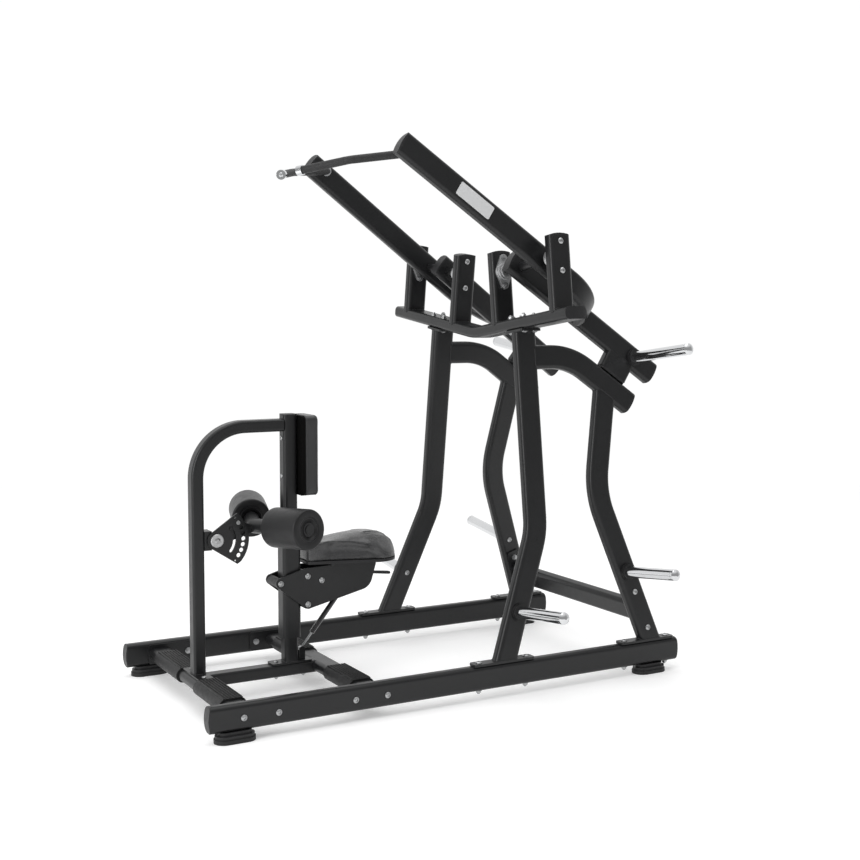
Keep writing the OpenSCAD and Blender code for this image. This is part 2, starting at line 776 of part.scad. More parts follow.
// ends of the common tangent on the right of the way from circle p to circle q, each [x, y, r]
function tangent(p, q) = let(
  d = norm([q[0] - p[0], q[1] - p[1]]),
  a = atan2(q[1] - p[1], q[0] - p[0]) - acos((p[2] - q[2]) / d),
  u = [cos(a), sin(a)]
) [[p[0], p[1]] + (p[2] - side_inset) * u, [q[0], q[1]] + (q[2] - side_inset) * u];

// convex outline round circles listed anticlockwise
module outline(c) {
  n = len(c);
  polygon([for (i = [0:n - 1]) each tangent(c[i], c[(i + 1) % n])]);
  for (k = c) translate([k[0], k[1]]) circle(k[2]);
}

carriage_shape = [
  [604, 359, 20], [838, 452, 58], [900, 500, 12], [722, 497, 15], [585, 488, 18], [484, 455, 22]
];

module seat_carriage() color(paint) at_base() difference() {
  union() {
    for (y = [-55, 47]) plate_xz(y, y + 8) outline(carriage_shape);
    translate([815, 0, 510]) linear_extrude(10) rrect(230, 150, 12);
    plate_xz(-48, 48) translate(strut_hi) circle(5);
    for (y = [-48, 11]) plate_xz(y, y + 37) translate(strut_hi) circle(10);
    plate_xz(-48, 48) translate([862, 425]) circle(8);
  }
  for (c = concat(wheels, [lever_p])) translate([c[0], 0, c[1]]) rotate([90, 0, 0]) hole(12);
  for (x = [740, 890], y = [-30, 30]) translate([x, y, 515]) hole(8, 40);
}

module carriage_bolts() color(steel) at_base() {
  for (c = concat(wheels, [lever_p])) translate([c[0], -55, c[1]]) rotate([90, 0, 0]) screw(12, 110);
  for (x = [740, 890], y = [-30, 30]) translate([x, y, 510]) rotate([180, 0, 0]) screw(8, 20, 8, false);
}

module guide_wheel(c) color(plastic) at_base() translate([c[0], 0, c[1]]) rotate([90, 0, 0])
  difference() {
    cylinder(r = 19.8, h = 92, center = true);
    cylinder(r = 6.06, h = 100, center = true);
  }

module guide_wheel_front() guide_wheel(wheels[0]);
module guide_wheel_upper() guide_wheel(wheels[1]);
module guide_wheel_lower() guide_wheel(wheels[2]);

module seat_outline(m) outline([
  [625, -35, 25 - m], [902, -40, 100 - m], [902, 40, 100 - m], [625, 35, 25 - m]
]);

module seat_board() color(plastic) at_base() difference() {
  translate([0, 0, seat_z]) linear_extrude(12) seat_outline(4);
  for (x = [740, 890], y = [-30, 30]) translate([x, y, 515]) hole(8, 34);
}

module seat_pad() color(vinyl) at_base() intersection() {
  translate([0, 0, seat_z + 12 + gap]) linear_extrude(105) seat_outline(0);
  plate_xz(-200, 200) polygon([
    [560, 500], [560, 556], [600, 574], [640, 593], [704, 612], [760, 625], [820, 634], [870, 637],
    [920, 630], [955, 618], [983, 601], [998, 580], [1010, 500]
  ]);
}

module seat_lever() color(paint) at_base() difference() {
  plate_xz(-6, 6) {
    link(lever_p, 13, [860, 461], 6, side_inset);
    link([852, 460.5], 5.5, [1000, 443], 6.2, side_inset);
  }
  translate([lever_p[0], 0, lever_p[1]]) rotate([90, 0, 0]) cylinder(r = 6.06, h = 20, center = true);
}

// ---------- gas strut ----------
module at_strut() at_base() translate([strut_lo[0], 0, strut_lo[1]]) rotate([0, 90 - strut_a, 0]) children();

module eye(r, bore, w) rotate([90, 0, 0]) difference() {
  cylinder(r = r, h = w, center = true);
  cylinder(r = bore, h = w + 2, center = true);
}

module strut() color(plastic) at_strut() {
  difference() {
    translate([0, 0, 78]) cylinder(r = 10.5, h = 240);
    translate([0, 0, 92]) cylinder(r = 8.3, h = 213);
    cylinder(r = 4.36, h = 100);
  }
  difference() {
    translate([0, 0, 316]) cylinder(r = 6, h = strut_len - 316);
    translate([0, 0, strut_len]) rotate([90, 0, 0]) cylinder(r = 8, h = 40, center = true);
  }
  translate([0, 0, strut_len]) eye(13, 8, 16);
}

module strut_rod() color(steel) at_strut() {
  difference() {
    cylinder(r = 4.3, h = 214);
    rotate([90, 0, 0]) cylinder(r = 5.06, h = 40, center = true);
  }
  translate([0, 0, 200]) cylinder(r = 8, h = 14);
  eye(10, 5.06, 20);
}

rail_left();
rail_right();
frame_caps();
foot_mounts();
feet();
crossbar_front();
crossbar_middle();
centre_beam();
treads();
base_bolts();
front_post();
seat_post();
post_sleeve();
front_leg_left();
front_leg_right();
curved_beam_left();
curved_beam_right();
rear_leg_left();
rear_leg_right();
rear_crossbar();
tower_bolts();
head_beam();
post_tubes();
bearing_housings();
storage_sleeves();
sleeve_collars();
arm_axle_left();
arm_axle_right();
weight_tube_left();
weight_tube_right();
handle_tube_left();
handle_tube_right();
arm_trim_left();
arm_trim_right();
arm_sleeve_left();
arm_sleeve_right();
grip_left();
grip_right();
grip_ends_left();
grip_ends_right();
name_plate();
chest_board();
chest_pad();
sector_plate();
roller_arm();
roller_pin();
roller_core_left();
roller_core_right();
roller_foam_left();
roller_foam_right();
seat_carriage();
carriage_bolts();
guide_wheel_front();
guide_wheel_upper();
guide_wheel_lower();
seat_board();
seat_pad();
seat_lever();
strut();
strut_rod();
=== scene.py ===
import json
import math

import bmesh
import bpy
from mathutils import Matrix, Vector, noise
from mathutils.bvhtree import BVHTree


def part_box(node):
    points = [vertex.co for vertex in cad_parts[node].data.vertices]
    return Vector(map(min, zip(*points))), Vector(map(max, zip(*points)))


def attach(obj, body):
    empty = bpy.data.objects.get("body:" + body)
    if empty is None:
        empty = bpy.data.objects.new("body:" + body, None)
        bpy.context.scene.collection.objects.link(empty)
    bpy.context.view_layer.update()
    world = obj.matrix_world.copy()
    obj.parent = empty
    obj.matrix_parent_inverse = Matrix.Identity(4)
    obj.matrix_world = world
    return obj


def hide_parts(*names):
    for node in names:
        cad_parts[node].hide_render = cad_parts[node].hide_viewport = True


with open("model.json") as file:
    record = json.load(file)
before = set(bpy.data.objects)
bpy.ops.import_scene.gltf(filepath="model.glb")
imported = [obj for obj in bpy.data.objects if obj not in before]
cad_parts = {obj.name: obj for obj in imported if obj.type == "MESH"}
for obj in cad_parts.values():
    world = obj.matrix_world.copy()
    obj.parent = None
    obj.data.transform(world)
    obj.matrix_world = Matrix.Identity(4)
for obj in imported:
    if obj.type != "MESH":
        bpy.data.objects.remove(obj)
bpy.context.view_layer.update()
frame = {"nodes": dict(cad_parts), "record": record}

nodes = frame["nodes"]

# ---------- frame of the CAD source, in millimetres ----------
X0 = 1073.0  # half the length of the base
LEAN = math.radians(7.3)  # lean of the side frames
SLOPE = math.radians(35.2)  # slope of the arms and of the curved beams
TUBE_W, TUBE_T, TUBE_R = 100.0, 50.0, 18.0  # frame tube: width, thickness and corner radius
LEG_Y, AXLE_X = 517.0, 1455.0  # middle of the side frames, and the arms' axle
BEAM_TOP, FLANGE_T = 1470.5, 10.0  # top of the head beam, and the flanges below it
BASE_TOP = 150.0  # top of the legs' base plates
POST_YS = (367.0, 797.0)  # the two bearing posts of one arm
FRONT_KNEE_Z, FRONT_SPREAD = 586.5, math.atan(0.373)  # bend of the front leg, and its slope below the bend
REAR_KNEE = Vector((1771.5, 728.0))  # bend of the rear leg
REAR_UPPER, REAR_LOWER = math.radians(10.15), math.radians(19.8)  # its slopes above and below the bend
CURVE_X, CURVE_Z, CURVE_R = 1580.0, 1305.5, 305.0  # start, middle height and bend radius of the curved beams
FRONT_POST_X, SEAT_POST_X, PLATE_TOP = 149.0, 542.5, 121.0  # the two posts, and the plates they stand on
GAP = 0.3  # how far a weld line lies off the faces it joins
BEAM_WELD_T, LEG_WELD_T = 49.4, 48.8  # thickness of the weld lines that run down a tube's rounded corners


def at(x, y, z):
    """A point of the upright frame, in metres."""
    return Vector(((x - X0) / 1000, y / 1000, z / 1000))


def leaning(side, x, y, z):
    """A point of the leaning frame of one side, in metres."""
    return at(x, side * (y * math.cos(LEAN) - z * math.sin(LEAN)), y * math.sin(LEAN) + z * math.cos(LEAN))


# ---------- camera ----------
cam_data = bpy.data.cameras.new("camera")
cam = bpy.data.objects.new("camera", cam_data)
bpy.context.scene.collection.objects.link(cam)
cam_data.sensor_width, cam_data.lens = 36.0, 54.94
cam_data.clip_start, cam_data.clip_end = 0.1, 100.0
yaw, pitch, roll = (math.radians(v) for v in (29.44, 5.24, -0.15))
forward = Vector((math.cos(pitch) * math.sin(yaw), math.cos(pitch) * math.cos(yaw), -math.sin(pitch)))
right = Vector((math.cos(yaw), -math.sin(yaw), 0.0))
down = forward.cross(right)
right, down = (math.cos(roll) * right + math.sin(roll) * down, math.cos(roll) * down - math.sin(roll) * right)
axes = Matrix((right, -down, -forward)).transposed().to_4x4()
cam.matrix_world = Matrix.Translation((-2.629, -4.886, 1.557)) @ axes
bpy.context.scene.camera = cam


# ---------- materials ----------
def add_node(tree, kind, inputs=None, **settings):
    """A new shader node. An input is linked where its value is a socket, and set otherwise."""
    n = tree.nodes.new("ShaderNode" + kind)
    for key, value in settings.items():
        setattr(n, key, value)
    for key, value in (inputs or {}).items():
        if isinstance(value, bpy.types.NodeSocket):
            tree.links.new(value, n.inputs[key])
        else:
            n.inputs[key].default_value = value
    return n


class Shader:
    """A material with a Principled shader and short calls for its nodes."""

    def __init__(self, name, color, roughness, metallic=0.0, specular=0.5, **fixed):
        self.material = bpy.data.materials.new(name)
        self.material.use_nodes = True
        self.material.diffuse_color = (*color, 1.0)
        self.tree = self.material.node_tree
        self.bsdf = self.tree.nodes["Principled BSDF"]
        for socket, value in {"Base Color": (*color, 1.0), "Roughness": roughness, "Metallic": metallic,
                              "Specular IOR Level": specular, **fixed}.items():
            self.bsdf.inputs[socket].default_value = value
        self.coord = self.tree.nodes.new("ShaderNodeTexCoord").outputs["Object"]
        self.normal = None

    def node(self, kind, inputs=None, **settings):
        return add_node(self.tree, kind, inputs, **settings)

    def place(self, scale=(1, 1, 1), turn=(0, 0, 0)):
        return self.node("Mapping", {"Vector": self.coord, "Scale": scale, "Rotation": turn}).outputs[0]

    def noise(self, scale, detail=2.0, rough=0.5, vector=None, distort=0.0):
        return self.node("TexNoise", {"Vector": vector or self.coord, "Scale": scale, "Detail": detail,
                                      "Roughness": rough, "Distortion": distort}).outputs["Fac"]

    def cells(self, scale, feature="F1", vector=None):
        return self.node("TexVoronoi", {"Vector": vector or self.coord, "Scale": scale},
                         feature=feature).outputs["Distance"]

    def span(self, value, low, high, to_low=0.0, to_high=1.0):
        return self.node("MapRange", {"Value": value, "From Min": low, "From Max": high, "To Min": to_low,
                                      "To Max": to_high}).outputs[0]

    def math(self, a, b, operation):
        return self.node("Math", {0: a, 1: b}, operation=operation).outputs[0]

    def color(self, fac, low, high):
        mix = self.node("Mix", {"Factor": fac}, data_type="RGBA")
        mix.inputs[6].default_value, mix.inputs[7].default_value = (*low, 1.0), (*high, 1.0)
        self.tree.links.new(mix.outputs[2], self.bsdf.inputs["Base Color"])

    def over(self, fac, color):
        """Lays one more colour over the base colour where fac is high."""
        under = self.bsdf.inputs["Base Color"].links[0].from_socket
        mix = self.node("Mix", {"Factor": fac}, data_type="RGBA")
        self.tree.links.new(under, mix.inputs[6])
        mix.inputs[7].default_value = (*color, 1.0)
        self.tree.links.new(mix.outputs[2], self.bsdf.inputs["Base Color"])

    def rough(self, value):
        self.tree.links.new(value, self.bsdf.inputs["Roughness"])

    def soft_edges(self, radius):
        self.normal = self.node("Bevel", {"Radius": radius}, samples=4).outputs[0]
        self.tree.links.new(self.normal, self.bsdf.inputs["Normal"])

    def edge_mask(self, radius):
        """High on edges, where a rounded normal differs from the true one."""
        n = self.node("Bevel", {"Radius": radius}, samples=4).outputs[0]
        true = self.node("NewGeometry").outputs["Normal"]
        dot = self.node("VectorMath", {0: n, 1: true}, operation="DOT_PRODUCT").outputs["Value"]
        return self.span(dot, 0.995, 0.86)

    def worn_edges(self, radius, patches, color):
        """Lays a colour over the edges, in the patches of a noise."""
        self.over(self.math(self.edge_mask(radius), patches, "MULTIPLY"), color)

    def bump(self, height, strength, distance):
        extra = {"Normal": self.normal} if self.normal is not None else {}
        self.normal = self.node("Bump", {"Height": height, "Strength": strength, "Distance": distance,
                                         **extra}).outputs[0]
        self.tree.links.new(self.normal, self.bsdf.inputs["Normal"])


def powder_coat():
    m = Shader("frame_paint", (0.012, 0.0124, 0.0130), 0.34, specular=0.36)
    m.color(m.noise(5.0, 4.0, 0.6), (0.0085, 0.0088, 0.0094), (0.0140, 0.0143, 0.0150))
    m.worn_edges(0.0014, m.span(m.noise(60.0, 5.0, 0.7), 0.5, 0.72), (0.050, 0.051, 0.054))
    m.rough(m.span(m.math(m.noise(34.0, 5.0, 0.62), m.noise(1100.0, 2.0), "ADD"), 0.7, 1.3, 0.27, 0.40))
    m.soft_edges(0.0012)
    m.bump(m.noise(420.0, 2.0, 0.45), 0.10, 0.0006)
    m.bump(m.cells(1900.0), 0.05, 0.0002)
    return m.material


def moulded_plastic():
    m = Shader("cap_plastic", (0.012, 0.012, 0.013), 0.46, specular=0.4)
    m.color(m.noise(18.0, 4.0, 0.6), (0.0095, 0.0095, 0.0105), (0.0170, 0.0170, 0.0180))
    m.rough(m.span(m.noise(90.0, 3.0), 0.3, 0.7, 0.40, 0.54))
    m.soft_edges(0.0012)
    m.bump(m.cells(1500.0), 0.16, 0.0003)
    return m.material


def rubber():
    m = Shader("black_rubber", (0.012, 0.012, 0.012), 0.62, specular=0.34)
    m.color(m.noise(26.0, 5.0, 0.65), (0.0100, 0.0100, 0.0103), (0.0165, 0.0165, 0.0170))
    m.worn_edges(0.001, m.span(m.noise(140.0, 4.0, 0.7), 0.45, 0.7), (0.045, 0.045, 0.045))
    m.rough(m.span(m.noise(60.0, 3.0), 0.3, 0.7, 0.46, 0.60))
    m.soft_edges(0.0008)
    m.bump(m.noise(1600.0, 3.0, 0.6), 0.12, 0.0003)
    return m.material


def zinc():
    m = Shader("zinc_steel", (0.44, 0.445, 0.45), 0.30, metallic=1.0)
    m.color(m.noise(170.0, 5.0, 0.7), (0.34, 0.345, 0.35), (0.52, 0.525, 0.53))
    m.over(m.span(m.noise(240.0, 4.0, 0.75), 0.60, 0.72), (0.26, 0.255, 0.245))
    m.rough(m.span(m.noise(480.0, 3.0), 0.3, 0.7, 0.22, 0.40))
    m.soft_edges(0.0006)
    m.bump(m.noise(900.0, 3.0, 0.6, m.place((1, 1, 0.15))), 0.10, 0.0003)
    return m.material


def housing_iron():
    m = Shader("bearing_iron", (0.50, 0.505, 0.51), 0.40, metallic=0.9)
    m.color(m.noise(70.0, 5.0, 0.65), (0.40, 0.405, 0.41), (0.62, 0.625, 0.63))
    m.worn_edges(0.0015, m.span(m.noise(120.0, 4.0), 0.4, 0.7), (0.78, 0.78, 0.78))
    m.rough(m.span(m.noise(160.0, 4.0), 0.3, 0.7, 0.32, 0.55))
    m.soft_edges(0.0015)
    m.bump(m.noise(330.0, 4.0, 0.6), 0.28, 0.0006)
    return m.material


def chrome():
    m = Shader("sleeve_chrome", (0.66, 0.67, 0.68), 0.08, metallic=1.0)
    m.color(m.noise(12.0, 3.0), (0.62, 0.63, 0.645), (0.70, 0.705, 0.71))
    m.over(m.span(m.noise(260.0, 4.0, 0.8, m.place((1, 0.05, 1))), 0.64, 0.74), (0.46, 0.46, 0.46))
    m.rough(m.span(m.noise(420.0, 4.0, 0.7, m.place((1, 0.06, 1))), 0.35, 0.75, 0.045, 0.17))
    m.soft_edges(0.0006)
    m.bump(m.noise(700.0, 3.0, 0.6, m.place((1, 0.04, 1))), 0.03, 0.0002)
    return m.material


def brushed_plate():
    m = Shader("plate_steel", (0.85, 0.86, 0.87), 0.42, metallic=0.55)
    along = m.place((0.03, 1, 1), (0.0, -SLOPE, 0.0))
    m.color(m.noise(1300.0, 3.0, 0.6, along), (0.80, 0.81, 0.82), (0.90, 0.905, 0.91))
    m.rough(m.span(m.noise(1300.0, 3.0, 0.6, along), 0.3, 0.7, 0.36, 0.48))
    m.soft_edges(0.0005)
    m.bump(m.noise(1500.0, 2.0, 0.6, along), 0.03, 0.0001)
    return m.material


def vinyl(name, low, high, roughness):
    """Upholstery vinyl: a pebbled grain with fine creases between the pebbles, painted darker as shade, and
    soft uneven wear.
    """
    m = Shader(name, low, sum(roughness) / 2, specular=0.55,
               **{"Sheen Weight": 0.20, "Sheen Roughness": 0.40})
    m.color(m.noise(9.0, 5.0, 0.6), low, high)
    pebble = m.cells(620.0, "SMOOTH_F1", m.place((1.0, 1.15, 0.9)))
    crease = m.cells(620.0, "DISTANCE_TO_EDGE", m.place((1.0, 1.15, 0.9)))
    # painted shade: the grooves between the pebbles are darkened where shade would fall in them
    m.over(m.span(crease, 0.05, 0.0, 0.0, 0.5), tuple(v * 0.45 for v in low))
    m.rough(m.span(m.math(m.noise(14.0, 4.0), pebble, "ADD"), 0.5, 1.2, *roughness))
    m.bump(m.span(crease, 0.0, 0.16), 0.22, 0.0003)
    m.bump(pebble, 0.08, 0.0003)
    m.bump(m.noise(42.0, 3.0, 0.55, distort=0.6), 0.08, 0.0010)
    return m.material


def foam_skin():
    """The closed skin of a moulded foam roller, with fine pores darkened as painted shade, and a slight
    unevenness.
    """
    m = Shader("roller_foam", (0.014, 0.014, 0.0150), 0.42, specular=0.3,
               **{"Sheen Weight": 0.03, "Sheen Roughness": 0.5})
    m.color(m.noise(14.0, 5.0, 0.65), (0.0080, 0.0080, 0.0086), (0.0150, 0.0150, 0.0158))
    # painted shade: the pits of the pores are darkened where shade would fall in them
    m.over(m.span(m.cells(2100.0), 0.16, 0.05, 0.0, 0.55), (0.006, 0.006, 0.006))
    m.rough(m.span(m.noise(40.0, 4.0, 0.65), 0.3, 0.7, 0.34, 0.48))
    m.bump(m.cells(2100.0), 0.16, 0.0002)
    m.bump(m.noise(120.0, 3.0, 0.6), 0.10, 0.0008)
    return m.material


def grip_rubber():
    """Rubber of the grips, with a fine pebbled surface."""
    m = Shader("grip_rubber", (0.020, 0.020, 0.021), 0.6, specular=0.35)
    m.color(m.noise(30.0, 5.0, 0.65), (0.0150, 0.0150, 0.0158), (0.0300, 0.0300, 0.0310))
    m.rough(m.span(m.noise(80.0, 4.0), 0.3, 0.7, 0.48, 0.68))
    m.bump(m.cells(900.0, vector=m.place((1.0, 1.0, 1.4))), 0.30, 0.0005)
    m.bump(m.noise(1500.0, 2.0), 0.15, 0.0003)
    return m.material


def gloss_black():
    m = Shader("strut_black", (0.010, 0.010, 0.011), 0.16, specular=0.5,
               **{"Coat Weight": 0.4, "Coat Roughness": 0.08})
    m.color(m.noise(40.0, 4.0), (0.008, 0.008, 0.009), (0.015, 0.015, 0.016))
    m.rough(m.span(m.noise(220.0, 3.0), 0.3, 0.7, 0.12, 0.26))
    m.soft_edges(0.0006)
    m.bump(m.noise(500.0, 2.0), 0.04, 0.0003)
    return m.material


def painted_board():
    """Plywood backing painted dull black, with a faint grain under the paint."""
    m = Shader("board_black", (0.003, 0.003, 0.003), 0.62, specular=0.05)
    grain = m.noise(30.0, 5.0, 0.65, m.place((1, 6, 0.4)), distort=0.5)
    m.color(grain, (0.0018, 0.0018, 0.0018), (0.0045, 0.0044, 0.0043))
    m.rough(m.span(m.noise(70.0, 3.0), 0.3, 0.7, 0.55, 0.72))
    m.bump(grain, 0.15, 0.0005)
    return m.material


def weld_metal():
    m = Shader("weld_bead", (0.012, 0.0124, 0.0132), 0.34, specular=0.42)
    m.color(m.noise(90.0, 4.0), (0.0095, 0.0098, 0.0105), (0.0170, 0.0172, 0.0180))
    m.rough(m.span(m.noise(150.0, 3.0), 0.3, 0.7, 0.28, 0.42))
    m.bump(m.noise(420.0, 2.0, 0.45), 0.15, 0.0006)
    return m.material


def thread_cotton():
    m = Shader("stitch_thread", (0.030, 0.030, 0.032), 0.7, specular=0.3,
               **{"Sheen Weight": 0.2, "Sheen Roughness": 0.5})
    m.color(m.noise(600.0, 3.0), (0.022, 0.022, 0.024), (0.050, 0.050, 0.052))
    m.rough(m.span(m.noise(500.0, 2.0), 0.3, 0.7, 0.58, 0.78))
    m.bump(m.noise(2600.0, 2.0, 0.5, m.place((1, 0.3, 1))), 0.4, 0.0003)
    return m.material


slot_materials = {
    "frame_paint": powder_coat(),
    "cap_plastic": moulded_plastic(),
    "black_rubber": rubber(),
    "zinc_steel": zinc(),
    "bearing_iron": housing_iron(),
    "sleeve_chrome": chrome(),
    "pad_vinyl": vinyl("pad_vinyl", (0.0170, 0.0172, 0.0180), (0.0270, 0.0272, 0.0285), (0.30, 0.42)),
    "roller_foam": foam_skin(),
    "strut_black": gloss_black(),
}
own_material = {
    "name_plate": brushed_plate(),
    "grip_left": grip_rubber(),
    "chest_board": painted_board(),
}
own_material["grip_right"] = own_material["grip_left"]
weld_material = weld_metal()
thread_material = thread_cotton()
seat_material = vinyl("seat_vinyl", (0.0370, 0.0372, 0.0382), (0.0560, 0.0562, 0.0578), (0.20, 0.30))

for part in frame["record"]["subparts"]:
    ob = nodes[part["node"]]
    material = own_material.get(part["node"], slot_materials[part["material_slot"]])
    if not ob.material_slots:
        ob.data.materials.append(material)
    for used in ob.material_slots:
        used.material = material


# ---------- meshes ----------
def add_mesh(name, verts, faces, material, body=None):
    """A new object with its normals turned outwards. It rides on body, in slot's finish, where given."""
    mesh = bpy.data.meshes.new(name)
    mesh.from_pydata([tuple(v) for v in verts], [], faces)
    mesh.materials.append(material)
    for poly in mesh.polygons:
        poly.use_smooth = True
    mesh.update()
    ob = bpy.data.objects.new(name, mesh)
    bpy.context.scene.collection.objects.link(ob)
    bm = bmesh.new()
    bm.from_mesh(mesh)
    bmesh.ops.recalc_face_normals(bm, faces=bm.faces)
    bm.to_mesh(mesh)
    bm.free()
    if body:
        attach(ob, body)
    return ob


def rings_to_faces(rings, count, closed=False, caps=True):
    """Quads between successive rings of count points each."""
    faces = []
    for r in range(rings if closed else rings - 1):
        a, b = r * count, ((r + 1) % rings) * count
        for k in range(count):
            j = (k + 1) % count
            faces.append((a + k, a + j, b + j, b + k))
    if caps and not closed:
        faces.append(tuple(range(count))[::-1])
        faces.append(tuple((rings - 1) * count + k for k in range(count)))
    return faces


def append_mesh(verts, faces, more_verts, more_faces):
    """Adds a second form's vertices and faces to the first's."""
    base = len(verts)
    verts.extend(more_verts)
    faces.extend(tuple(i + base for i in face) for face in more_faces)


def bead(points, radius, ripple=0.0, step=0.004, sides=8, closed=True):
    """Vertices and faces of a round bead along a path of points, resampled at even steps."""
    path = [Vector(p) for p in points] + ([Vector(points[0])] if closed else [])
    lengths = [(b - a).length for a, b in zip(path, path[1:])]
    total = sum(lengths)
    count = max(8, int(total / step))
    samples, seg, done = [], 0, 0.0
    for i in range(count + (0 if closed else 1)):
        want = min(total * i / count, total - 1e-9)
        while seg < len(lengths) - 1 and done + lengths[seg] < want:
            done += lengths[seg]
            seg += 1
        share = (want - done) / max(lengths[seg], 1e-9)
        samples.append(path[seg].lerp(path[seg + 1], min(1.0, max(0.0, share))))
    n = len(samples)
    verts = []
    frame_up = Vector((0.37, 0.21, 0.9)).normalized()
    for i, p in enumerate(samples):
        nxt = samples[(i + 1) % n] if closed or i < n - 1 else p
        prv = samples[i - 1] if closed or i > 0 else p
        t = (nxt - prv).normalized()
        side = t.cross(frame_up).normalized()
        up = side.cross(t)
        r = radius * (1.0 + ripple * math.sin(i * 2.1) + ripple * 0.6 * noise.noise(p * 160.0))
        verts += [p + (side * math.cos(a) + up * math.sin(a)) * r
                  for a in (2 * math.pi * k / sides for k in range(sides))]
    return verts, rings_to_faces(n, sides, closed, caps=not closed)


def rounded_rect(w, h, r, per_corner=5):
    """Points round a rectangle with rounded corners, anticlockwise, centred on the origin."""
    out = []
    for i, (sx, sy) in enumerate(((1, 1), (-1, 1), (-1, -1), (1, -1))):
        for k in range(per_corner + 1):
            a = math.radians(90 * i + 90 * k / per_corner)
            out.append((sx * (w / 2 - r) + r * math.cos(a), sy * (h / 2 - r) + r * math.sin(a)))
    dense = []
    for (x1, y1), (x2, y2) in zip(out, out[1:] + out[:1]):
        steps = max(1, int(math.hypot(x2 - x1, y2 - y1) / 8))
        dense += [(x1 + (x2 - x1) * k / steps, y1 + (y2 - y1) * k / steps) for k in range(steps)]
    return dense


def corner_depth(d, half, r):
    """How far a tube's rounded face falls back at distance d from its centre line."""
    over = abs(d) - (half - r)
    return 0.0 if over <= 0 else r - math.sqrt(max(0.0, r * r - over * over))


# ---------- welds ----------
def welds():
    """Weld beads of the side frames, the bearing posts, and the feet of the front post and seat post."""
    verts, faces = [], []

    def add(points, radius=2.6):  # of the bead, in millimetres
        v, f = bead(points, radius / 1000, ripple=0.16)
        append_mesh(verts, faces, v, f)

    for s in (-1, 1):
        # curved beam on the rear face of the front leg, whose rounded corners the bead follows
        rear_face = AXLE_X + TUBE_W / 2 + GAP
        add([leaning(s, rear_face - corner_depth(y, TUBE_T / 2, TUBE_R), LEG_Y + y, CURVE_Z + z)
             for z, y in rounded_rect(TUBE_W, BEAM_WELD_T, TUBE_R)])
        # top of the rear leg under the curved beam: u runs up the leg, v across it, n off the beam
        u = Vector((math.sin(REAR_UPPER), math.cos(REAR_UPPER)))
        v = Vector((u.y, -u.x))
        n = Vector((math.sin(SLOPE), math.cos(SLOPE)))
        end = Vector((CURVE_X + CURVE_R * math.sin(SLOPE), CURVE_Z - CURVE_R * (1 - math.cos(SLOPE))))
        ring = []
        for a, y in rounded_rect(TUBE_W, LEG_WELD_T, TUBE_R):
            p = REAR_KNEE + v * a
            depth = -TUBE_W / 2 - GAP + corner_depth(y, TUBE_T / 2, TUBE_R)
            t = (depth - (p - end).dot(n)) / u.dot(n)
            q = p + u * t
            ring.append(leaning(s, q.x, LEG_Y + y, q.y))
        add(ring)
        # bearing posts on the head beam, whose rounded edges the beads follow down
        for post_y in POST_YS:
            add([leaning(s, AXLE_X + x, post_y + y, BEAM_TOP + 0.2 - corner_depth(x, TUBE_W / 2, TUBE_R))
                 for x, y in rounded_rect(99, TUBE_T, TUBE_R)])
        # flange over the front leg
        add([leaning(s, AXLE_X + x, LEG_Y + y, BEAM_TOP - TUBE_T - FLANGE_T - GAP)
             for x, y in rounded_rect(TUBE_W, TUBE_T, TUBE_R)])
        # legs on their base plates
        front_x = AXLE_X - (FRONT_KNEE_Z - BASE_TOP) * math.tan(FRONT_SPREAD)
        rear_x = REAR_KNEE.x + (REAR_KNEE.y - BASE_TOP) * math.tan(REAR_LOWER)
        for x_mid, slope, thick in ((front_x, FRONT_SPREAD, TUBE_T), (rear_x, -REAR_LOWER, LEG_WELD_T)):
            ring = []
            for a, y in rounded_rect(TUBE_W, thick, TUBE_R):
                z_lean = (BASE_TOP + GAP - (LEG_Y + y) * math.sin(LEAN)) / math.cos(LEAN)
                x = x_mid + a / math.cos(slope) + (z_lean - BASE_TOP) * math.tan(slope)
                ring.append(leaning(s, x, LEG_Y + y, z_lean))
            add(ring)
    add([at(FRONT_POST_X + x, y, PLATE_TOP + GAP) for x, y in rounded_rect(50, 60, 12)], 2.2)
    add([at(SEAT_POST_X + x, y, PLATE_TOP + GAP) for x, y in rounded_rect(60, 60, 15)], 2.2)
    add_mesh("weld_beads", verts, faces, weld_material, "frame")


welds()


# ---------- padded pieces ----------
CLOTH_PRESSURE, CLOTH_FRAMES = 4.0, 20


def frozen_mesh(ob):
    """A new mesh of the object with its modifiers applied."""
    bpy.context.view_layer.update()
    shown = ob.evaluated_get(bpy.context.evaluated_depsgraph_get())
    return bpy.data.meshes.new_from_object(shown)


def swap_mesh(ob, mesh, material):
    """Gives the object a new mesh, with no modifiers left."""
    old = ob.data
    ob.modifiers.clear()
    ob.data = mesh
    bpy.data.meshes.remove(old)
    mesh.materials.clear()
    mesh.materials.append(material)
    for poly in mesh.polygons:
        poly.use_smooth = True


def relax(points, links, times):
    """Moves each point halfway to the mean of its neighbours, times over."""
    for _ in range(times):
        points = [p + (sum((points[j] for j in links[i]), Vector()) / len(links[i]) - p) * 0.5
                  if links[i] else p for i, p in enumerate(points)]
    return points


